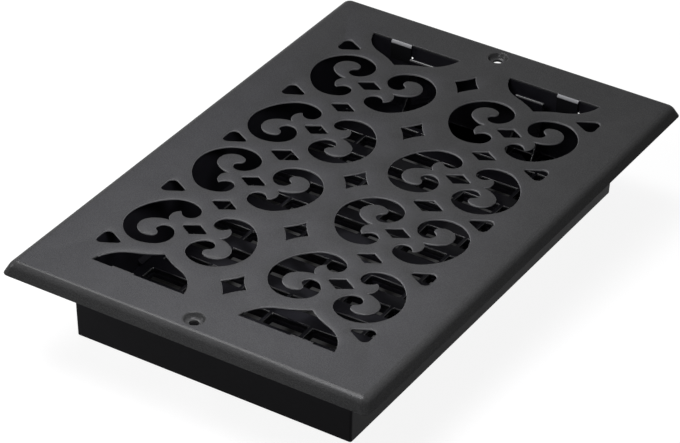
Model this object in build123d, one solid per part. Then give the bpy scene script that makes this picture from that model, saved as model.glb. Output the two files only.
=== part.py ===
from build123d import *
import math
import os

# Floor register: a stamped steel face plate pierced with scrolls, a moulded damper box clipped
# under it, and a sliding shutter on the box's floor grid.
# Millimetres, +Z up, X across the width, Y along the length. The origin is the centre of the
# box's underside, where the register stands when it is out of the floor.

# Duct opening that the register drops into, and how far the plate overlaps the floor round it
duct_width = 152.4
duct_length = 254.0
flange_overlap = 20.25
overall_height = 45.8

# Face plate: rolled sheet with a pressed rim
sheet = 1.2
rim_depth = 6.0
rim_flare = 2.85
bend_radius = 3.0
plate_corner_radius = 3.6

# Screw dimples, pressed down into the plate at both ends
screw_inset = 12.25
screw_hole_radius = 2.3
dimple_radius = 4.7
dimple_depth = 2.5

# Damper box: moulded walls that lean inwards towards the bottom
side_clearance = 1.8
end_clearance = 3.25
side_draft = 1.0
end_draft = 2.8
wall = 1.8
box_corner_radius = 1.2
inner_corner_radius = 0.8
skirt_height = 7.5
floor_thickness = 2.5

# Slots of the floor grid and of the shutter
slot_pitch = 17.1
slot_width = 8.0
rib_pitch = 22.0
rib_width = 2.4
end_land = 14.0

# Shutter
shutter_thickness = 2.5
slide_gap = 0.3
side_play = 0.6
end_play = 0.6
far_play = 4.6
shutter_corner_radius = 3.0

# Finger tabs that stand on the shutter's far end, one under each corner opening
finger_spacing = 60.2
finger_width = 16.0
finger_thickness = 2.4
finger_setback = 2.0
finger_headroom = 1.5
gusset_thickness = 1.6
gusset_height = 14.0
gusset_length = 8.0

# Tabs folded down from the plate, and the windows in the end walls that they clip into
tab_width = 11.6
tab_offset = 8.0
tab_drop = 10.0
tab_bend_radius = 1.7
tab_gap = 0.1
tab_lip = 1.4
window_play = 0.5

# Lugs on the side walls that keep the shutter down
lug_length = 10.0
lug_reach = 2.2
lug_lip = 0.8
lug_height = 3.2
lug_spacing = 70.0

# Sizes that follow from those above
plate_width = duct_width + 2 * flange_overlap
plate_length = duct_length + 2 * flange_overlap
plate_underside = overall_height - sheet
screw_y = plate_length / 2 - screw_inset

side_slope = math.tan(math.radians(side_draft))
end_slope = math.tan(math.radians(end_draft))
box_half_width = duct_width / 2 - side_clearance
box_half_length = duct_length / 2 - end_clearance

floor_top = skirt_height + floor_thickness
shutter_bottom = floor_top + slide_gap
shutter_top = shutter_bottom + shutter_thickness
travel = slot_pitch / 2


def outer_half(z):
    # half width and half length of the box's outside at height z
    down = plate_underside - z
    return box_half_width - down * side_slope, box_half_length - down * end_slope


def inner_half(z):
    half_width, half_length = outer_half(z)
    return half_width - wall, half_length - wall


# The face plate's tabs hang straight, clear of the leaning end walls down to their lower ends
tab_face_y = inner_half(overall_height - tab_drop)[1] - tab_gap
field_half_length = tab_face_y - sheet + tab_bend_radius
field_half_width = inner_half(plate_underside)[0] - tab_gap

# Scroll pattern: two columns of units in four rows
column_x = 39.3
row_pitch = 51.8
inner_row_y = row_pitch / 2
outer_row_y = row_pitch * 3 / 2

# Outline of one C-scroll opening: tangent arcs from the tip of its small tongue, round the small
# curl, the back and the large curl to the cusp between the tongues, and one arc back to the tip.
# x runs from the column's axis and y from the row's centre, towards the large curl.
scroll_points = [
    (-13.4, -10.7), (-12.1, -8.9), (-4.5, -11.2), (-7.4, -17.5), (-22.5, -16.9), (-32.6, 0.4),
    (-25.2, 17.8), (-8.1, 17.6), (-7.4, 4.1), (-12.1, 2.4), (-15.6, 5.4), (-14.2, 8.3),
    (-14.0, 12.9), (-24.5, 7.1), (-22.4, 2.1), (-13.7, -1.6),
]
scroll_heading = (0.5, 0.87)
scroll_hollow = (-16.1, -6.4)

# Curves of the openings that are tighter than this radius are laid out as short flats
tight_radius = 7.0
flat_turn = 25.0

# Diamonds on the column axes: half width, half height and the rounding of their side tips
unit_diamond = (7.4, 4.6, 1.0)
waist_diamond = (8.9, 5.3, 1.3)
unit_diamond_shift = 1.5

# Four-pointed stars on the centre line: half width, half height and how far the sides bow in
star_half_width = 6.9
star_half_height = 9.0
star_bow = 0.5

# Rounded triangles along the long borders, with their flat sides outwards
border_tip_x = 59.8
border_depth = 12.7
border_half_height = 7.1
border_corner_radius = 2.8
border_tip_radius = 1.5

# Ogee openings in the corners: a straight base, two round shoulders and hollow sides to the apex.
# Places are measured from the apex, which lies a little inside the last row's end.
ogee_apex_inset = 3.5
ogee_height = 21.6
ogee_half_width = 24.8
ogee_side = (20.6, 12.3)
ogee_shoulder = (12.6, 6.8)
ogee_hollow = (6.3, 4.0)
ogee_apex_y = 2 * row_pitch - ogee_apex_inset

# The pattern is drawn about its centre in millimetres, and stretched to the field that the box
# leaves open: the border triangles' flat sides and the ogees' bases lie on the field's edges
drawn_half_width = border_tip_x + border_depth
drawn_half_length = ogee_apex_y + ogee_height
stretch_x = field_half_width / drawn_half_width
stretch_y = field_half_length / drawn_half_length


def drawn(x, y):
    return x * stretch_x, y * stretch_y


def closed_face(*edges):
    return Face(Wire(edges))


def arc_chain(points, direction):
    # arcs from point to point, each leaving in the direction in which the last one arrived
    arcs = []
    heading = Vector(*direction)
    for start, end in zip(points, points[1:]):
        arc = TangentArc(start, end, tangent=heading)
        heading = arc % 1
        arcs.append(arc)
    return arcs


def scroll_face(axis_x, row_y, side, curl):
    # side is +1 for the scroll on the axis's left, -1 for its mirror image on the right;
    # curl is +1 where the large curl points to +Y
    def spot(point):
        return drawn(axis_x + side * point[0], row_y + curl * point[1])

    outline = [spot(point) for point in scroll_points]
    heading = drawn(side * scroll_heading[0], curl * scroll_heading[1])
    front = ThreePointArc(outline[-1], spot(scroll_hollow), outline[0])
    return closed_face(*arc_chain(outline, heading), front)


def diamond_face(x, y, sizes):
    half_width, half_height, tip_radius = sizes
    corners = [(x - half_width, y), (x, y - half_height), (x + half_width, y), (x, y + half_height)]
    face = Face(Wire.make_polygon([drawn(*corner) for corner in corners], close=True))
    tips = face.vertices().sort_by(Axis.X)
    return face.fillet_2d(tip_radius, [tips[0], tips[-1]])


def star_face(y):
    tips = [(-star_half_width, y), (0, y - star_half_height), (star_half_width, y), (0, y + star_half_height)]
    sides = []
    for start, end in zip(tips, tips[1:] + tips[:1]):
        middle = ((start[0] + end[0]) / 2, (start[1] + end[1]) / 2)
        reach = math.hypot(middle[0], middle[1] - y)
        bowed = (middle[0] * (1 - star_bow / reach), y + (middle[1] - y) * (1 - star_bow / reach))
        sides.append(ThreePointArc(drawn(*start), drawn(*bowed), drawn(*end)))
    return closed_face(*sides)


def border_face(side, y):
    base_x = side * drawn_half_width
    corners = [(base_x, y - border_half_height), (base_x, y + border_half_height), (side * border_tip_x, y)]
    face = Face(Wire.make_polygon([drawn(*corner) for corner in corners], close=True))
    by_reach = face.vertices().sort_by(lambda vertex: abs(vertex.X))
    face = face.fillet_2d(border_tip_radius, [by_reach[0]])
    outer = face.vertices().sort_by(lambda vertex: abs(vertex.X))[-2:]
    return face.fillet_2d(border_corner_radius, outer)


def ogee_face(side, end):
    def spot(x, y):
        return drawn(side * column_x + x, end * (ogee_apex_y + y))

    base_left = spot(-ogee_half_width, ogee_height)
    base_right = spot(ogee_half_width, ogee_height)
    shoulder_left = spot(-ogee_shoulder[0], ogee_shoulder[1])
    shoulder_right = spot(*ogee_shoulder)
    apex = spot(0, 0)
    return closed_face(
        Line(base_left, base_right),
        ThreePointArc(base_right, spot(*ogee_side), shoulder_right),
        ThreePointArc(shoulder_right, spot(*ogee_hollow), apex),
        ThreePointArc(apex, spot(-ogee_hollow[0], ogee_hollow[1]), shoulder_left),
        ThreePointArc(shoulder_left, spot(-ogee_side[0], ogee_side[1]), base_left),
    )


def punched(face):
    # the same outline with its tight curves laid out as short flats
    edges = []
    for edge in face.outer_wire().edges():
        if edge.geom_type == GeomType.CIRCLE and edge.radius < tight_radius:
            flats = math.ceil(math.degrees(edge.length / edge.radius) / flat_turn)
            corners = [edge @ (step / flats) for step in range(flats + 1)]
            edges += [Line(start, end) for start, end in zip(corners, corners[1:])]
        else:
            edges.append(edge)
    return closed_face(*edges)


def pattern_faces():
    # large curls meet at the middle and at the ends, small curls at the quarter lines
    faces = []
    star_rows = [row_pitch * step for step in (-2, -1, 0, 1, 2)]
    for axis_x in (-column_x, column_x):
        for end in (-1, 1):
            for row_y, curl in ((inner_row_y, -end), (outer_row_y, end)):
                for side in (-1, 1):
                    faces.append(scroll_face(axis_x, end * row_y, side, curl))
                faces.append(diamond_face(axis_x, end * row_y - curl * unit_diamond_shift, unit_diamond))
            faces.append(diamond_face(axis_x, end * row_pitch, unit_diamond))
        faces.append(diamond_face(axis_x, 0, waist_diamond))
    for y in star_rows:
        faces.append(star_face(y))
        for side in (-1, 1):
            faces.append(border_face(side, y))
    for side in (-1, 1):
        for end in (-1, 1):
            faces.append(ogee_face(side, end))
    return [punched(face) for face in faces]


def pressed_pan(inset):
    # the plate's outside, or its inside when inset by the sheet's thickness; the rim flares downwards
    top = overall_height - inset
    bottom = overall_height - rim_depth
    sections = []
    for z in (bottom, top):
        reach = inset + rim_flare * (z - bottom) / rim_depth
        width = plate_width - 2 * reach
        length = plate_length - 2 * reach
        sections.append(Pos(0, 0, z) * RectangleRounded(width, length, plate_corner_radius - inset))
    pan = loft(sections)
    return fillet(pan.edges().group_by(Axis.Z)[-1], bend_radius - inset)


def screw_dimple(outside):
    # cone of the dimple, measured at the plate's top face; outside adds the sheet's thickness
    grow = sheet if outside else 0
    top = overall_height - grow
    rim = dimple_radius + grow
    throat = screw_hole_radius + grow
    bottom = top - dimple_depth
    profile = Polyline((0, top), (rim, top), (throat, bottom), (0, bottom), close=True)
    return revolve(Plane.XZ * make_face(profile), Axis.Z)


def folded_tab(side, end):
    # one tab in section across the end wall: a bend, a straight drop and a lip into the window
    back = tab_face_y
    front = tab_face_y - sheet
    foot = overall_height - tab_drop
    section = make_face(
        [
            Line((field_half_length, overall_height), (field_half_length, plate_underside)),
            RadiusArc((field_half_length, plate_underside), (back, overall_height - tab_bend_radius),
                      sheet - tab_bend_radius),
            Line((back, overall_height - tab_bend_radius), (back, foot + sheet)),
            Line((back, foot + sheet), (back + tab_lip, foot + sheet)),
            Line((back + tab_lip, foot + sheet), (back + tab_lip, foot)),
            Line((back + tab_lip, foot), (front, foot)),
            Line((front, foot), (front, overall_height - tab_bend_radius)),
            RadiusArc((front, overall_height - tab_bend_radius), (field_half_length, overall_height),
                      tab_bend_radius),
        ]
    )
    tab = extrude(Plane.YZ * section, tab_width / 2, both=True)
    tab = Pos(side * (column_x * stretch_x + tab_offset), 0, 0) * tab
    return tab if end > 0 else mirror(tab, Plane.XZ)


def face_plate():
    plate = pressed_pan(0) - pressed_pan(sheet)
    holes = extrude(Pos(0, 0, plate_underside) * Sketch(pattern_faces()), sheet, dir=(0, 0, 1))
    plate -= holes
    for end in (-1, 1):
        plate += Pos(0, end * screw_y, 0) * screw_dimple(outside=True)
        plate -= Pos(0, end * screw_y, 0) * screw_dimple(outside=False)
        plate -= Pos(0, end * screw_y, overall_height) * Cylinder(screw_hole_radius, 2 * rim_depth)
        for side in (-1, 1):
            plate += folded_tab(side, end)
    return plate


def drafted_block(low, high, halves):
    # solid between two heights whose outline follows the leaning walls
    corner_radius = box_corner_radius if halves is outer_half else inner_corner_radius
    sections = []
    for z in (low, high):
        half_width, half_length = halves(z)
        outline = RectangleRounded(2 * half_width, 2 * half_length, corner_radius)
        sections.append(Pos(0, 0, z) * outline)
    return loft(sections)


def slot_centres():
    # rows of slots on both sides of a central slat, and bays on both sides of a central rib
    half_width, half_length = inner_half(floor_top)
    rows = int((half_length - end_land) // slot_pitch)
    bays = int(half_width // rib_pitch)
    ys = [slot_pitch * (row + 0.5) for row in range(-rows, rows)]
    xs = [rib_pitch * (bay + 0.5) for bay in range(-bays, bays)]
    return [(x, y) for x in xs for y in ys]


def slot_cutter(bottom, height):
    slot = Rectangle(rib_pitch - rib_width, slot_width)
    slots = Sketch([Pos(x, y, bottom) * face for x, y in slot_centres() for face in slot.faces()])
    return extrude(slots, height)


def shutter_lug(side, y):
    # wedge in section across the side wall, rooted in the wall
    low = shutter_top + slide_gap
    face_x = inner_half(low)[0]
    root_x = face_x + wall / 2
    tip_x = face_x - lug_reach
    lip_top = low + lug_lip
    profile = Polyline((root_x, low), (tip_x, low), (tip_x, lip_top), (root_x, low + lug_height), close=True)
    lug = Pos(0, y, 0) * extrude(Plane.XZ * make_face(profile), lug_length / 2, both=True)
    return lug if side > 0 else mirror(lug, Plane.YZ)


def tab_window(side, end):
    # opening in an end wall, a little larger than the tab's lip
    low = overall_height - tab_drop - window_play
    height = sheet + 2 * window_play + sheet
    cutter = Box(tab_width + 2 * window_play, 4 * wall, height, align=(Align.CENTER, Align.CENTER, Align.MIN))
    y = outer_half(low)[1] - wall / 2
    return Pos(side * (column_x * stretch_x + tab_offset), end * y, low) * cutter


def damper_box():
    box = drafted_block(0, plate_underside, outer_half)
    box -= drafted_block(floor_top, plate_underside, inner_half)
    box -= drafted_block(0, skirt_height, inner_half)
    box -= slot_cutter(skirt_height, floor_thickness)
    for side in (-1, 1):
        for y in (-lug_spacing, 0, lug_spacing):
            box += shutter_lug(side, y)
        for end in (-1, 1):
            box -= tab_window(side, end)
    return box


def finger_tab(side, far_y):
    # upright tab with a rounded top and a gusset at each edge
    top = plate_underside - finger_headroom
    y = far_y - finger_setback
    standing = (Align.CENTER, Align.CENTER, Align.MIN)
    blade = Box(finger_width, finger_thickness, top - shutter_top, align=standing)
    blade = fillet(blade.edges().group_by(Axis.Z)[-1].filter_by(Axis.X), finger_thickness * 0.45)
    tab = Pos(0, y, shutter_top) * blade
    root_y = y - finger_thickness / 2
    web_top = shutter_top + gusset_height
    web_toe = root_y - gusset_length
    web = Polyline((root_y, shutter_top), (web_toe, shutter_top), (root_y, web_top), close=True)
    gusset = extrude(Plane.YZ * make_face(web), gusset_thickness / 2, both=True)
    for edge in (-1, 1):
        tab += Pos(edge * (finger_width - gusset_thickness) / 2, 0, 0) * gusset
    return Pos(side * finger_spacing / 2, 0, 0) * tab


def shutter():
    # at rest the slots line up with the floor's; it closes by sliding half a pitch towards -Y
    half_width, half_length = inner_half(shutter_bottom)
    near_y = -(half_length - travel - end_play)
    far_y = half_length - far_play
    outline = RectangleRounded(2 * (half_width - side_play), far_y - near_y, shutter_corner_radius)
    grid = extrude(Pos(0, (near_y + far_y) / 2, shutter_bottom) * outline, shutter_thickness)
    grid -= slot_cutter(shutter_bottom, shutter_thickness)
    for side in (-1, 1):
        grid += finger_tab(side, far_y)
    return grid


os.makedirs("parts", exist_ok=True)
export_step(face_plate(), "parts/face_plate.step")
export_step(damper_box(), "parts/damper_box.step")
export_step(shutter(), "parts/shutter.step")
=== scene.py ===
import math
import bmesh
import bpy
from mathutils import Matrix, Vector


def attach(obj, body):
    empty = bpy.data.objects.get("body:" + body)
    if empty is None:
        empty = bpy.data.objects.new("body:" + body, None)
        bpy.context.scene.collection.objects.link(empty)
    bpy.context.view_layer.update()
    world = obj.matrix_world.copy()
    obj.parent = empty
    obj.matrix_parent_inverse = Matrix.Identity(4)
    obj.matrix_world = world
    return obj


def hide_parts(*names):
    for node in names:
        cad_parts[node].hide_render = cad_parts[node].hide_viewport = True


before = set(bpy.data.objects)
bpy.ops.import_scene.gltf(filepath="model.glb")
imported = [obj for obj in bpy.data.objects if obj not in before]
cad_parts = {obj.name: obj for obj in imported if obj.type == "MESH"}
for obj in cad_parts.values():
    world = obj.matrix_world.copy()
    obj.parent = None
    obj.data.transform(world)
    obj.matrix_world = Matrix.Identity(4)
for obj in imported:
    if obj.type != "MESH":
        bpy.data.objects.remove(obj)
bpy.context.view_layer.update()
scene = bpy.context.scene
scene.view_settings.view_transform = "Standard"
print("frame loaded:", ", ".join(sorted(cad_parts)))

millimetre = 0.001


# small helpers for node trees
def addNode(tree, kind, **values):
    node = tree.nodes.new(kind)
    for name, value in values.items():
        if hasattr(node, name):
            setattr(node, name, value)
        else:
            node.inputs[name.replace("_", " ")].default_value = value
    return node


def newMaterial(name):
    material = bpy.data.materials.new(name)
    material.use_nodes = True
    material.node_tree.nodes.clear()
    return material, material.node_tree


# one step of arithmetic; each value is a number or another node's output
def reckoned(tree, operation, *values, **extra):
    node = addNode(tree, "ShaderNodeMath", operation=operation, **extra)
    for socket, value in zip(node.inputs, values):
        if isinstance(value, float):
            socket.default_value = value
        else:
            tree.links.new(value, socket)
    return node.outputs["Value"]


def remapped(tree, value, span, target, **extra):
    remap = addNode(tree, "ShaderNodeMapRange", From_Min=span[0], From_Max=span[1], **extra)
    remap.inputs["To Min"].default_value = target[0]
    remap.inputs["To Max"].default_value = target[1]
    tree.links.new(value, remap.inputs["Value"])
    return remap.outputs["Result"]


# each colour is a plain one or another node's output
def mixedColour(tree, mask, first, second):
    mix = addNode(tree, "ShaderNodeMix", data_type="RGBA")
    tree.links.new(mask, mix.inputs["Factor"])
    for name, colour in (("A", first), ("B", second)):
        if isinstance(colour, tuple):
            mix.inputs[name].default_value = (*colour, 1.0)
        else:
            tree.links.new(colour, mix.inputs[name])
    return mix.outputs["Result"]


def placeAxes(tree, vector):
    axes = addNode(tree, "ShaderNodeSeparateXYZ")
    tree.links.new(vector, axes.inputs["Vector"])
    return axes.outputs


# 1 inside a rectangle round the origin, else 0
def insideField(tree, axes, field):
    across = reckoned(tree, "COMPARE", axes["X"], 0.0, field[0])
    along = reckoned(tree, "COMPARE", axes["Y"], 0.0, field[1])
    return reckoned(tree, "MULTIPLY", across, along)


# fine grain and a broad mottle, shared by the coat and the moulded plastic
grainNoise = {"Detail": 3.0, "Roughness": 0.6}
mottleNoise = {"Detail": 4.0, "Roughness": 0.78}
mottleSpan = (0.3, 0.7)  # where most of the mottle's values lie


def makeSurfaceGrain():
    group = bpy.data.node_groups.new("surfaceGrain", "ShaderNodeTree")
    sockets = group.interface
    sockets.new_socket("Coordinates", in_out="INPUT", socket_type="NodeSocketVector")
    sockets.new_socket("Grain Scale", in_out="INPUT", socket_type="NodeSocketFloat")
    sockets.new_socket("Mottle Scale", in_out="INPUT", socket_type="NodeSocketFloat")
    sockets.new_socket("Height", in_out="OUTPUT", socket_type="NodeSocketFloat")
    sockets.new_socket("Mottle", in_out="OUTPUT", socket_type="NodeSocketFloat")
    given = group.nodes.new("NodeGroupInput").outputs
    made = group.nodes.new("NodeGroupOutput").inputs
    textures = ((grainNoise, "Grain Scale", "Height"), (mottleNoise, "Mottle Scale", "Mottle"))
    for noise, scale, result in textures:
        texture = addNode(group, "ShaderNodeTexNoise", **noise)
        group.links.new(given["Coordinates"], texture.inputs["Vector"])
        group.links.new(given[scale], texture.inputs["Scale"])
        group.links.new(texture.outputs["Fac"], made[result])
    return group


surfaceGrain = makeSurfaceGrain()


# the gloss goes by how far a face leans, from upright walls at 0 to flat faces at 1
def glossByLean(tree, lean, weights):
    ramp = addNode(tree, "ShaderNodeValToRGB")
    stops = ramp.color_ramp.elements
    while len(stops) < len(weights):
        stops.new(1.0)
    for stop, (position, weight) in zip(stops, weights):
        stop.position = position
        stop.color = (weight, weight, weight, 1.0)
    tree.links.new(lean, ramp.inputs["Fac"])
    return ramp.outputs["Color"]


# painted highlight: the punched edges of the pattern's field take a light colour, standing in for the
# highlights on their rounds
def paintEdgeHighlight(tree, edgeHighlight, colour, lean, axes):
    edges = remapped(tree, lean, edgeHighlight["lean"], (1.0, 0.0))
    mask = reckoned(tree, "MULTIPLY", insideField(tree, axes, edgeHighlight["field"]), edges)
    return mixedColour(tree, mask, colour, edgeHighlight["tone"])


# painted light and shade: the far clip tabs take a light colour along their bends, standing in for a
# highlight, and a dark one below them, standing in for their shade
def paintClipLightAndShade(tree, clipLightAndShade, colour, lean, axes):
    across = reckoned(tree, "COMPARE", reckoned(tree, "ABSOLUTE", axes["X"]), *clipLightAndShade["across"])
    along = reckoned(tree, "COMPARE", axes["Y"], *clipLightAndShade["along"])
    leaning = reckoned(tree, "LESS_THAN", lean, clipLightAndShade["flat"])
    mask = reckoned(tree, "MULTIPLY", reckoned(tree, "MULTIPLY", across, along), leaning)
    bend = remapped(tree, lean, clipLightAndShade["bend"], (0.0, 1.0))
    return mixedColour(tree, mask, colour, mixedColour(tree, bend, clipLightAndShade["dark"], clipLightAndShade["bright"]))


# a finish whose colour and roughness drift a little with the mottle, over a grain bump
def grainedFinish(name, look):
    material, tree = newMaterial(name)
    link = tree.links.new
    place = addNode(tree, "ShaderNodeTexCoord").outputs
    grain = addNode(tree, "ShaderNodeGroup", node_tree=surfaceGrain)
    grain.inputs["Grain Scale"].default_value = look["grainScale"]
    grain.inputs["Mottle Scale"].default_value = look["mottleScale"]
    link(place["Object"], grain.inputs["Coordinates"])
    mottle, height = grain.outputs["Mottle"], grain.outputs["Height"]
    surface = addNode(tree, "ShaderNodeBsdfPrincipled")
    surface.inputs["Specular IOR Level"].default_value = look["specular"]
    surface.inputs["Coat Roughness"].default_value = look["resinRoughness"]
    if isinstance(look["resin"], float):
        surface.inputs["Coat Weight"].default_value = look["resin"]
    else:
        lean = reckoned(tree, "ABSOLUTE", placeAxes(tree, place["Normal"])["Z"])
        link(glossByLean(tree, lean, look["resin"]), surface.inputs["Coat Weight"])

    drift = mottle
    if "speckle" in look:
        half = look["speckle"] / 2
        drift = reckoned(tree, "ADD", mottle, remapped(tree, height, (0.0, 1.0), (-half, half), clamp=False))
    tone = addNode(tree, "ShaderNodeValToRGB")
    for stop, position, shade in zip(tone.color_ramp.elements, mottleSpan, (look["dark"], look["light"])):
        stop.position = position
        stop.color = (*shade, 1.0)
    link(drift, tone.inputs["Fac"])
    colour = tone.outputs["Color"]
    # painted highlight on the punched edges, then painted light and shade on the far clip tabs
    if "edgeHighlight" in look:
        axes = placeAxes(tree, place["Object"])
        colour = paintEdgeHighlight(tree, look["edgeHighlight"], colour, lean, axes)
        # painted highlight along the far clip tabs' bends and painted shade below them
        colour = paintClipLightAndShade(tree, look["clipLightAndShade"], colour, lean, axes)

    bump = addNode(tree, "ShaderNodeBump", Strength=look["bump"], Distance=look["bumpDepth"])
    link(height, bump.inputs["Height"])
    link(colour, surface.inputs["Base Color"])
    link(remapped(tree, mottle, mottleSpan, look["roughness"]), surface.inputs["Roughness"])
    link(bump.outputs["Normal"], surface.inputs["Normal"])
    out = addNode(tree, "ShaderNodeOutputMaterial")
    link(surface.outputs["BSDF"], out.inputs["Surface"])
    return material


coatLook = {
    "dark": (0.0405, 0.0405, 0.041),
    "light": (0.0525, 0.0525, 0.053),
    "roughness": (0.45, 0.55),
    "specular": 0.0,
    "resin": [(0.5, 0.15), (0.8, 0.22), (0.96, 0.28), (0.995, 0.15)],  # the cured powder's thin gloss, by lean
    "resinRoughness": 0.24,
    "grainScale": 1700.0,  # about half a millimetre from grain to grain
    "mottleScale": 60.0,
    "speckle": 3.0,
    "bump": 0.8,
    "bumpDepth": 0.00035,
    # painted highlight: a light colour on the punched edges, in place of the highlights on their rounds
    "edgeHighlight": {
        "field": (0.0735, 0.1185),  # it ends short of the clip tabs
        "lean": (0.5, 0.9),
        "tone": (0.19, 0.19, 0.195),
    },
    # painted light and shade on the far clip tabs: a painted highlight along their bends and painted shade
    # below them
    "clipLightAndShade": {
        "across": (0.0473, 0.0061),  # the tabs' places, give or take
        "along": (0.1205, 0.002),
        "flat": 0.97,
        "bend": (0.15, 0.35),
        # the first colour is painted shade below the bends, the second a painted highlight along them
        "dark": (0.008, 0.008, 0.009),
        "bright": (0.3, 0.3, 0.31),
    },
}
plasticLook = {
    "dark": (0.010, 0.0096, 0.0122),
    "light": (0.0145, 0.014, 0.0172),
    "roughness": (0.36, 0.44),
    "specular": 0.02,
    "resin": 0.068,
    "resinRoughness": 0.2,
    "grainScale": 2200.0,
    "mottleScale": 45.0,
    "bump": 0.12,
    "bumpDepth": 0.0001,
}
slatLook = {
    **plasticLook,
    # painted shade: the slats take darker copies of the box plastic's colours, standing in for the shade
    # inside the box
    "dark": (0.0052, 0.005, 0.0066),
    "light": (0.008, 0.0077, 0.01),
    "resin": [(0.9, 1.0), (0.99, 0.05)],  # rubbed bright along the slats
    "resinRoughness": 0.1,
}
powderCoat = grainedFinish("powderCoat", coatLook)
mouldedPlastic = grainedFinish("mouldedPlastic", plasticLook)
slatPlastic = grainedFinish("slatPlastic", slatLook)


def dress(nodeName, material):
    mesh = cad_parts[nodeName].data
    mesh.materials.clear()
    mesh.materials.append(material)


dress("face_plate", powderCoat)
dress("damper_box", mouldedPlastic)
dress("shutter", slatPlastic)
print("finishes done")


# outlines are drawn in millimetres as Bezier stations: place, handle in, handle out, and whether each
# side is straight
def station(place):
    at = Vector((place[0], place[1]))
    return {"at": at, "in": at.copy(), "out": at.copy(), "straightIn": False, "straightOut": False}


# leaves the last station along heading and arrives on one arc; returns the heading there
def arcTo(path, place, heading):
    start, end = path[-1], station(place)
    chord = end["at"] - start["at"]
    along = chord.normalized()
    half = heading.angle(chord)
    reach = chord.length / (3 * math.cos(half / 2) ** 2)
    arrival = 2 * heading.dot(along) * along - heading
    start["out"] = start["at"] + heading * reach
    end["in"] = end["at"] - arrival * reach
    path.append(end)
    return arrival


# arrives on the arc through the middle
def bowTo(path, middle, place):
    start, middle, end = path[-1]["at"], Vector(middle), Vector(place)
    chord = (end - start).normalized()
    turn = math.pi - (start - middle).angle(end - middle)
    side = math.copysign(turn, chord.cross(middle - start))
    arcTo(path, place, Matrix.Rotation(side, 2) @ chord)


def lineTo(path, place):
    path.append(station(place))
    path[-2]["straightOut"] = True
    path[-1]["straightIn"] = True


# the last station lies on the first: they become one
def closePath(path):
    last = path.pop()
    path[0]["in"] = last["in"]
    path[0]["straightIn"] = last["straightIn"]
    return path


# a polygon whose corners are rounded, each by its own radius; 0 leaves a corner sharp
def roundedPolygon(corners, radii):
    path = []
    count = len(corners)
    for k, (corner, radius) in enumerate(zip(corners, radii)):
        corner = Vector(corner)
        before = (Vector(corners[k - 1]) - corner).normalized()
        after = (Vector(corners[(k + 1) % count]) - corner).normalized()
        cut = radius / math.tan(before.angle(after) / 2)
        first = corner + before * cut
        if path:
            lineTo(path, first)
        else:
            path.append(station(first))
        if radius:
            arcTo(path, corner + after * cut, -before)
    lineTo(path, path[0]["at"])
    return closePath(path)


# the pierced pattern, measured from the plate's centre
pattern = {
    "columnX": 39.3,
    "rowPitch": 51.8,
    "stretchY": 121.9196 / 121.7,  # from the drawn length to the field that the box leaves open
    "scroll": [
        (-13.4, -10.7), (-12.1, -8.9), (-4.5, -11.2), (-7.4, -17.5), (-22.5, -16.9), (-32.6, 0.4),
        (-25.2, 17.8), (-8.1, 17.6), (-7.4, 4.1), (-12.1, 2.4), (-15.6, 5.4), (-14.2, 8.3),
        (-14.0, 12.9), (-24.5, 7.1), (-22.4, 2.1), (-13.7, -1.6),
    ],
    "scrollHeading": (0.5, 0.87),
    "scrollHollow": (-16.1, -6.4),
    "unitDiamond": (7.4, 4.6, 1.0),  # half width, half height and the round at its sides
    "waistDiamond": (8.9, 5.3, 1.3),
    "diamondShift": 1.5,
    "star": (6.9, 9.0, 0.5),  # half width, half height and how far the sides bow in
    "border": {"tip": 59.8, "base": 72.5, "halfHeight": 7.1, "cornerRadius": 2.8, "tipRadius": 1.5},
    "ogee": {
        "apex": 100.1,
        "height": 21.6,
        "halfWidth": 24.8,
        "side": (20.6, 12.3),
        "shoulder": (12.6, 6.8),
        "hollow": (6.3, 4.0),
    },
    "smallRound": 0.35,  # no punched corner is quite sharp
    "steps": 7,
}


def scrollPath(axisX, rowY, side, curl):
    def spot(point):
        return Vector((axisX + side * point[0], (rowY + curl * point[1]) * pattern["stretchY"]))

    places = [spot(point) for point in pattern["scroll"]]
    path = [station(places[0])]
    heading = Vector((side * pattern["scrollHeading"][0], curl * pattern["scrollHeading"][1])).normalized()
    for place in places[1:]:
        heading = arcTo(path, place, heading)
    bowTo(path, spot(pattern["scrollHollow"]), places[0])
    return closePath(path)


def diamondPath(x, y, size):
    halfWidth, halfHeight, tipRadius = size
    y *= pattern["stretchY"]
    corners = [(x - halfWidth, y), (x, y - halfHeight), (x + halfWidth, y), (x, y + halfHeight)]
    return roundedPolygon(corners, [tipRadius, pattern["smallRound"]] * 2)


def starPath(y):
    halfWidth, halfHeight, bow = pattern["star"]
    y *= pattern["stretchY"]
    tips = [Vector(tip) for tip in ((-halfWidth, y), (0, y - halfHeight), (halfWidth, y), (0, y + halfHeight))]
    centre = Vector((0, y))
    path = [station(tips[0])]
    for start, end in zip(tips, tips[1:] + tips[:1]):
        middle = (start + end) / 2
        bowTo(path, middle + (centre - middle).normalized() * bow, end)
    return closePath(path)


def borderPath(side, y):
    border = pattern["border"]
    y *= pattern["stretchY"]
    base, halfHeight = side * border["base"], border["halfHeight"]
    corners = [(base, y - halfHeight), (base, y + halfHeight), (side * border["tip"], y)]
    return roundedPolygon(corners, [border["cornerRadius"], border["cornerRadius"], border["tipRadius"]])


def ogeePath(side, end):
    ogee = pattern["ogee"]

    # a place on the ogee's right half, or its mirror image on the left
    def spot(place, half):
        x = side * pattern["columnX"] + half * place[0]
        return Vector((x, end * (ogee["apex"] + place[1]) * pattern["stretchY"]))

    foot = (ogee["halfWidth"], ogee["height"])
    path = [station(spot(foot, -1))]
    lineTo(path, spot(foot, 1))
    bowTo(path, spot(ogee["side"], 1), spot(ogee["shoulder"], 1))
    bowTo(path, spot(ogee["hollow"], 1), spot((0, 0), 1))
    bowTo(path, spot(ogee["hollow"], -1), spot(ogee["shoulder"], -1))
    bowTo(path, spot(ogee["side"], -1), path[0]["at"])
    return closePath(path)


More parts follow.
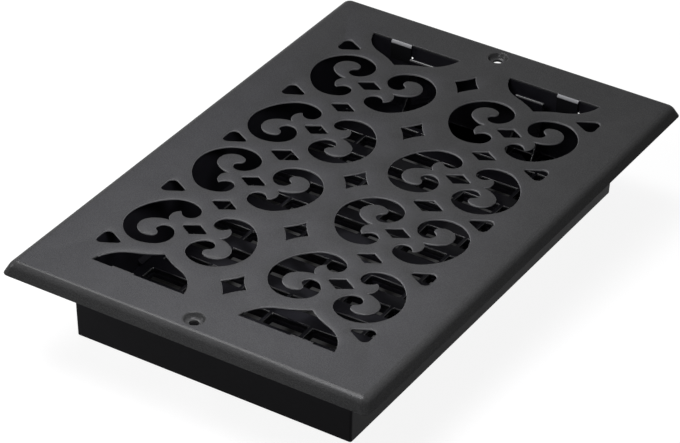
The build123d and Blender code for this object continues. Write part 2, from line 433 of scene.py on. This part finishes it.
def patternPaths():
    columnX, pitch = pattern["columnX"], pattern["rowPitch"]
    paths = []
    for axisX in (-columnX, columnX):
        for end in (-1, 1):
            for rowY, curl in ((end * pitch / 2, -end), (end * pitch * 1.5, end)):
                paths += [scrollPath(axisX, rowY, side, curl) for side in (-1, 1)]
                paths.append(diamondPath(axisX, rowY - curl * pattern["diamondShift"], pattern["unitDiamond"]))
            paths.append(diamondPath(axisX, end * pitch, pattern["unitDiamond"]))
        paths.append(diamondPath(axisX, 0, pattern["waistDiamond"]))
    for row in (-2, -1, 0, 1, 2):
        paths.append(starPath(row * pitch))
        paths += [borderPath(side, row * pitch) for side in (-1, 1)]
    paths += [ogeePath(side, end) for side in (-1, 1) for end in (-1, 1)]
    return paths


meshing = {
    "roundSteps": 3,  # of the rounds along edges
    "weld": 0.002,  # millimetres
    "flat": 0.999,  # how upright the normal of a flat face is
    "sharp": math.radians(40),
}


# a pierced sheet from closed outlines, in millimetres, with the edges of its openings rounded
def piercedSheet(name, paths, steps, thickness, edgeRound):
    curve = bpy.data.curves.new(name, "CURVE")
    curve.dimensions = "2D"
    curve.fill_mode = "BOTH"
    curve.extrude = thickness / 2 - edgeRound
    curve.bevel_depth = edgeRound
    curve.bevel_resolution = meshing["roundSteps"]
    curve.offset = -edgeRound  # the rounding then ends on the outline
    for path in paths:
        spline = curve.splines.new("BEZIER")
        spline.bezier_points.add(len(path) - 1)
        for point, stop in zip(spline.bezier_points, path):
            point.co = stop["at"].to_3d()
            point.handle_left_type = "VECTOR" if stop["straightIn"] else "FREE"
            point.handle_right_type = "VECTOR" if stop["straightOut"] else "FREE"
            point.handle_left = stop["in"].to_3d()
            point.handle_right = stop["out"].to_3d()
        spline.use_cyclic_u = True
        spline.resolution_u = steps
    drawn = bpy.data.objects.new(name, curve)
    scene.collection.objects.link(drawn)
    depsgraph = bpy.context.evaluated_depsgraph_get()
    sheet = bpy.data.meshes.new_from_object(drawn.evaluated_get(depsgraph))
    bpy.data.objects.remove(drawn)
    bm = bmesh.new()
    bm.from_mesh(sheet)
    bpy.data.meshes.remove(sheet)
    bmesh.ops.remove_doubles(bm, verts=bm.verts, dist=meshing["weld"])
    bm.normal_update()
    flats = [face for face in bm.faces if len(face.verts) == 3 and abs(face.normal.z) > meshing["flat"]]
    bmesh.ops.beautify_fill(bm, faces=flats, edges=bm.edges[:])
    return bm


# draws free edges on through the given shifts; move(place, shift) says where a point goes
def drawEdges(bm, edges, shifts, move):
    for shift in shifts:
        drawn = bmesh.ops.extrude_edge_only(bm, edges=edges)["geom"]
        edges = [item for item in drawn if isinstance(item, bmesh.types.BMEdge)]
        for vert in {vert for edge in edges for vert in edge.verts}:
            vert.co = move(vert.co, shift)
    return edges


# places along a quarter turn: how far out and how far down
def quarterBend(radius, steps):
    turns = [math.pi / 2 * step / steps for step in range(1, steps + 1)]
    return [(radius * math.sin(turn), radius * (1 - math.cos(turn))) for turn in turns]


plate = {
    "half": (96.45, 147.25),  # at the rim's foot
    "top": 45.8,
    "rimDepth": 6.0,
    "rimFlare": 2.85,
    "bend": 4.4,
    "corner": 3.6,  # at the rim's foot
    "bendSteps": 10,
    "sheet": 1.2,
    "edgeRound": 0.5,
    "foldGap": 0.1,  # how far from the folds and dimples the flat sheet stops
    "screwY": 135.0,
    "foldSlack": 0.03,  # how close to that line a free edge lies
    "lipRound": 0.999,  # of the half width, so that a short straight is left between the rounds
    "dimple": [(5.5, 0.0), (5.15, 0.08), (4.85, 0.34), (4.62, 0.8), (4.1, 1.8), (3.5, 2.3), (2.3, 2.5)],
    "dimpleLean": 0.45,  # the cone's underside stands out by the sheet's slant
    "tabEdges": (41.5, 53.1),
    "tabDrop": 10.0,
    "tabBend": 1.7,
    "tabLip": 1.4,
    "tabRoot": 0.6,
    "tabSteps": 6,
    "tabHair": 0.004,  # how far under the plate's faces the tab runs into them
}


def makePlate(p):
    sheet, foldGap = p["sheet"], p["foldGap"]
    foot = sheet / 2 - p["rimDepth"]
    spread = p["rimFlare"] / p["rimDepth"]
    lipRadius = p["dimple"][0][0]

    # where the straight sides end and the corners' rounds begin, at a height
    def straightHalf(height):
        reach = p["corner"] + (height - foot) * spread
        return [half - reach for half in p["half"]]

    # the fold of the rim, outside or an inset inside it: the corner's radius and the height of each ring
    def rimSection(inset):
        radius = p["bend"] - inset
        level = sheet / 2 - inset
        lean = math.atan(spread)
        slack = radius * math.cos(lean) / (1 + math.sin(lean))
        section = []
        for step in range(p["bendSteps"] + 1):
            turn = (math.pi / 2 - lean) * step / p["bendSteps"]
            down = radius * (1 - math.cos(turn))
            out = radius * math.sin(turn) - slack - down * spread
            section.append((p["corner"] - inset + out, level - down))
        return section + [(p["corner"] - inset, foot)]

    flatStraight = straightHalf(sheet / 2)
    cornerRadius = rimSection(0)[0][0]
    flatHalf = [straight + cornerRadius for straight in flatStraight]
    signs = [(-1, -1), (1, -1), (1, 1), (-1, 1)]
    # the rounding takes its width off the sheet, so the rim and the lips are drawn past their lines
    past = p["edgeRound"] - foldGap
    rimCorners = [(sx * (flatHalf[0] + past), sy * (flatHalf[1] + past)) for sx, sy in signs]
    rim = roundedPolygon(rimCorners, [cornerRadius + past] * 4)
    lips = []
    for end in (-1, 1):
        reach = lipRadius - past
        corners = [(sx * reach, end * p["screwY"] + sy * reach) for sx, sy in signs]
        lips.append(roundedPolygon(corners, [reach * p["lipRound"]] * 4))
    bm = piercedSheet("plateOutline", [rim, *patternPaths(), *lips], pattern["steps"], sheet, p["edgeRound"])

    def rimCentre(place, straight):
        return Vector([max(-end, min(end, value)) for end, value in zip(straight, place)])

    def rimReach(place):
        return (place.to_2d() - rimCentre(place, flatStraight)).length - cornerRadius

    def dimpleCentre(place):
        return Vector((0, math.copysign(p["screwY"], place.y), 0))

    def dimpleReach(place):
        return (place - dimpleCentre(place)).to_2d().length - lipRadius

    # open the outer edge and the two dimples again, to draw the sheet on from there
    rimWalls = [face for face in bm.faces if max(rimReach(vert.co) for vert in face.verts) > -foldGap / 2]
    lipWalls = [face for face in bm.faces if min(dimpleReach(vert.co) for vert in face.verts) < foldGap / 2]
    bmesh.ops.delete(bm, geom=rimWalls + lipWalls, context="FACES")
    free = [edge for edge in bm.edges if edge.is_boundary]

    def freeEdges(reach, level):
        def onLine(vert):
            return abs(abs(reach(vert.co)) - foldGap) < p["foldSlack"] and vert.co.z * level > 0

        return [edge for edge in free if all(onLine(vert) for vert in edge.verts)]

    # the rim folds down all round, with the sheet's inside following
    def rimMove(place, shift):
        before, after, radius, height = shift
        centre = rimCentre(place, before)
        out = (place.to_2d() - centre).normalized() * radius
        x, y = centre.x * after[0] / before[0], centre.y * after[1] / before[1]
        return Vector((x + out.x, y + out.y, height))

    rings = []
    for level, inset in ((1, 0), (-1, sheet)):
        before = flatStraight
        shifts = []
        for radius, height in rimSection(inset):
            shifts.append((before, straightHalf(height), radius, height))
            before = shifts[-1][1]
        rings += drawEdges(bm, freeEdges(rimReach, level), shifts, rimMove)
    bmesh.ops.bridge_loops(bm, edges=rings)

    # the screw dimples are pressed down round their holes
    def dimpleMove(place, shift):
        centre = dimpleCentre(place)
        out = (place - centre).to_2d().normalized() * shift[0]
        return Vector((centre.x + out.x, centre.y + out.y, shift[1]))

    rings = []
    for level in (1, -1):
        lean = 0 if level > 0 else p["dimpleLean"]
        steps = [(radius + lean, level * sheet / 2 - down) for radius, down in p["dimple"][:-1]]
        hole, depth = p["dimple"][-1]
        steps.append((hole, level * sheet / 2 - depth))
        rings += drawEdges(bm, freeEdges(dimpleReach, level), steps, dimpleMove)
    for end in (-1, 1):
        bmesh.ops.bridge_loops(bm, edges=[edge for edge in rings if edge.verts[0].co.y * end > 0])

    # clip tabs fold down from the straight sides of the corner openings
    base = (pattern["ogee"]["apex"] + pattern["ogee"]["height"]) * pattern["stretchY"]
    for side in (-1, 1):
        for end in (-1, 1):
            makeTab(bm, p, side, end, base)

    bmesh.ops.translate(bm, verts=bm.verts, vec=(0, 0, p["top"] - sheet / 2))
    bmesh.ops.scale(bm, verts=bm.verts, vec=[millimetre] * 3)
    bmesh.ops.recalc_face_normals(bm, faces=bm.faces)
    print("plate:", len(bm.verts), "points,", sum(edge.is_boundary for edge in bm.edges), "free edges")
    return finishPiece(bm, "pressedPlate", powderCoat)


# one tab: its section, across the end wall, is drawn as a strip and then widened
def makeTab(bm, p, side, end, base):
    half = p["sheet"] / 2 - p["tabHair"]
    outerBend = quarterBend(p["tabBend"], p["tabSteps"])
    innerBend = quarterBend(p["tabBend"] - 2 * half, p["tabSteps"])
    outside = [(-p["tabRoot"], half), (0, half)] + [(out, half - down) for out, down in outerBend]
    inside = [(-p["tabRoot"], -half), (0, -half)] + [(out, -half - down) for out, down in innerBend]
    foot = p["sheet"] / 2 - p["tabDrop"]
    lipTop = foot + p["sheet"]
    back = inside[-1][0]
    lipEnd = back - p["tabLip"]
    outside.append((outside[-1][0], foot))
    inside += [(back, lipTop), (lipEnd, lipTop), (lipEnd, foot)]
    near, far = p["tabEdges"]
    section = [(side * near, end * (base - out), height) for out, height in outside + inside[::-1]]
    face = bm.faces.new([bm.verts.new(place) for place in section])
    widened = bmesh.ops.extrude_face_region(bm, geom=[face])["geom"]
    corners = [item for item in widened if isinstance(item, bmesh.types.BMVert)]
    bmesh.ops.translate(bm, verts=corners, vec=(side * (far - near), 0, 0))


def finishPiece(bm, name, material):
    for face in bm.faces:
        face.smooth = len(face.verts) == 4 or abs(face.normal.z) < meshing["flat"]
    mesh = bpy.data.meshes.new(name)
    bm.to_mesh(mesh)
    bm.free()
    mesh.set_sharp_from_angle(angle=meshing["sharp"])
    mesh.materials.append(material)
    piece = bpy.data.objects.new(name, mesh)
    scene.collection.objects.link(piece)
    return piece


def roundEdges(piece, width):
    rounding = piece.modifiers.new("edgeRound", "BEVEL")
    rounding.width = width
    rounding.segments = meshing["roundSteps"]
    rounding.profile = 0.5
    rounding.limit_method = "ANGLE"
    rounding.angle_limit = meshing["sharp"]
    rounding.use_clamp_overlap = False
    rounding.harden_normals = True


pressedPlate = makePlate(plate)
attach(pressedPlate, "register")
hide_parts("face_plate")
print("face plate done")


# moulded pieces keep the CAD's form; their edges get the small rounds that a mould leaves
mouldings = {
    "damper_box": {
        "piece": "mouldedBox",
        "body": "register",
        "material": mouldedPlastic,
        "edgeRound": 0.35,
    },
    "shutter": {
        "piece": "slottedShutter",
        "body": "shutter",
        "material": slatPlastic,
        "edgeRound": 0.75,
    },
}
cadWeld = 1e-6  # metres
facetAngle = math.radians(1)  # facets that lean less become one face


def makeMoulding(nodeName, settings):
    bm = bmesh.new()
    bm.from_mesh(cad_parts[nodeName].data)
    bmesh.ops.remove_doubles(bm, verts=bm.verts, dist=cadWeld)
    bmesh.ops.dissolve_limit(bm, angle_limit=facetAngle, verts=bm.verts, edges=bm.edges)
    piece = finishPiece(bm, settings["piece"], settings["material"])
    roundEdges(piece, settings["edgeRound"] * millimetre)
    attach(piece, settings["body"])
    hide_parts(nodeName)


for nodeName, settings in mouldings.items():
    makeMoulding(nodeName, settings)
print("mouldings done")

# pale floor, white world and four soft lamps
studio = {
    "floorHalf": 6.0,
    "floorColour": (0.2, 0.2, 0.2),
    "floorGlow": 0.9,  # added for the camera, so that the pale floor reads as white
    "underBox": (0.0728, 0.1203),  # hardly any glow where the register stands
    "underShade": 0.9955,
    "fill": 0.018,
    "lamps": {
        "keyBox": {
            "place": (-0.574, 0.397, 1.063),
            "aim": (0.009, -0.011, 0.045),
            "size": 0.5,
            "power": 8.4,
            "colour": (1.0, 1.0, 1.0),
        },
        "nearBox": {
            "place": (0.03, -0.13, 0.25),
            "aim": (0.0, -0.1, 0.045),
            "size": 0.124,
            "power": 0.53,
            "colour": (0.97, 0.97, 1.0),
        },
        "leftBox": {
            "place": (-0.92, -0.40, 0.45),
            "aim": (0.0, 0.0, 0.045),
            "size": 0.4,
            "power": 3.4,
            "colour": (1.0, 1.0, 1.0),
        },
        "sheenBox": {
            "place": (-0.66, 0.80, 0.88),
            "aim": (0.0, 0.0, 0.045),
            "size": 0.4,
            "power": 0.95,
            "colour": (0.75, 0.74, 1.0),
        },
    },
}


# 1 for what the camera sees straight or in a gloss, 0 for what only lights the object
def seenRays(tree):
    rays = addNode(tree, "ShaderNodeLightPath").outputs
    mirrored = reckoned(tree, "MAXIMUM", rays["Is Camera Ray"], rays["Is Glossy Ray"])
    return reckoned(tree, "MAXIMUM", mirrored, rays["Is Transmission Ray"])


def makeFloor(settings):
    bm = bmesh.new()
    bmesh.ops.create_grid(bm, x_segments=1, y_segments=1, size=settings["floorHalf"])
    mesh = bpy.data.meshes.new("paleFloor")
    bm.to_mesh(mesh)
    bm.free()
    floor = bpy.data.objects.new("paleFloor", mesh)
    scene.collection.objects.link(floor)
    material, tree = newMaterial("paleFloor")
    link = tree.links.new
    axes = placeAxes(tree, addNode(tree, "ShaderNodeTexCoord").outputs["Object"])
    shade = reckoned(tree, "MULTIPLY", insideField(tree, axes, settings["underBox"]), settings["underShade"])
    shown = reckoned(tree, "SUBTRACT", seenRays(tree), shade, use_clamp=True)
    lift = reckoned(tree, "MULTIPLY", shown, settings["floorGlow"])
    plain = addNode(tree, "ShaderNodeBsdfDiffuse", Color=(*settings["floorColour"], 1.0))
    glow = addNode(tree, "ShaderNodeEmission", Color=(1.0, 1.0, 1.0, 1.0))
    both = addNode(tree, "ShaderNodeAddShader")
    out = addNode(tree, "ShaderNodeOutputMaterial")
    link(lift, glow.inputs["Strength"])
    link(plain.outputs["BSDF"], both.inputs[0])
    link(glow.outputs["Emission"], both.inputs[1])
    link(both.outputs["Shader"], out.inputs["Surface"])
    mesh.materials.append(material)


def makeWorld(settings):
    world = bpy.data.worlds.new("studioWorld")
    world.use_nodes = True
    tree = world.node_tree
    tree.nodes.clear()
    level = remapped(tree, seenRays(tree), (0.0, 1.0), (settings["fill"], 1.0))
    sky = addNode(tree, "ShaderNodeBackground", Color=(1.0, 1.0, 1.0, 1.0))
    out = addNode(tree, "ShaderNodeOutputWorld")
    tree.links.new(level, sky.inputs["Strength"])
    tree.links.new(sky.outputs["Background"], out.inputs["Surface"])
    scene.world = world


def aimed(place, aim):
    look = Vector(aim) - Vector(place)
    return Matrix.Translation(place) @ look.to_track_quat("-Z", "Y").to_matrix().to_4x4()


def makeSoftbox(name, settings):
    lamp = bpy.data.lights.new(name, "AREA")
    lamp.shape = "SQUARE"
    lamp.size = settings["size"]
    lamp.energy = settings["power"]
    lamp.color = settings["colour"]
    holder = bpy.data.objects.new(name, lamp)
    holder.matrix_world = aimed(settings["place"], settings["aim"])
    holder.visible_camera = False
    scene.collection.objects.link(holder)


makeFloor(studio)
makeWorld(studio)
for lampName, settings in studio["lamps"].items():
    makeSoftbox(lampName, settings)
print("studio done")

# camera at the photo view
view = {
    "place": (0.6386, -1.0793, 0.8531),
    "aim": (0.0125, -0.0342, 0.0458),
    "roll": 1.652,
    "lens": 168.88,
    "sensor": 36.0,
    "clipStart": 0.01,
}


def makeCamera(settings):
    lens = bpy.data.cameras.new("photoView")
    lens.sensor_fit = "HORIZONTAL"
    lens.sensor_width = settings["sensor"]
    lens.lens = settings["lens"]
    lens.clip_start = settings["clipStart"]
    camera = bpy.data.objects.new("photoView", lens)
    roll = Matrix.Rotation(math.radians(settings["roll"]), 4, "Z")
    camera.matrix_world = aimed(settings["place"], settings["aim"]) @ roll
    scene.collection.objects.link(camera)
    scene.camera = camera


makeCamera(view)
print("camera done")
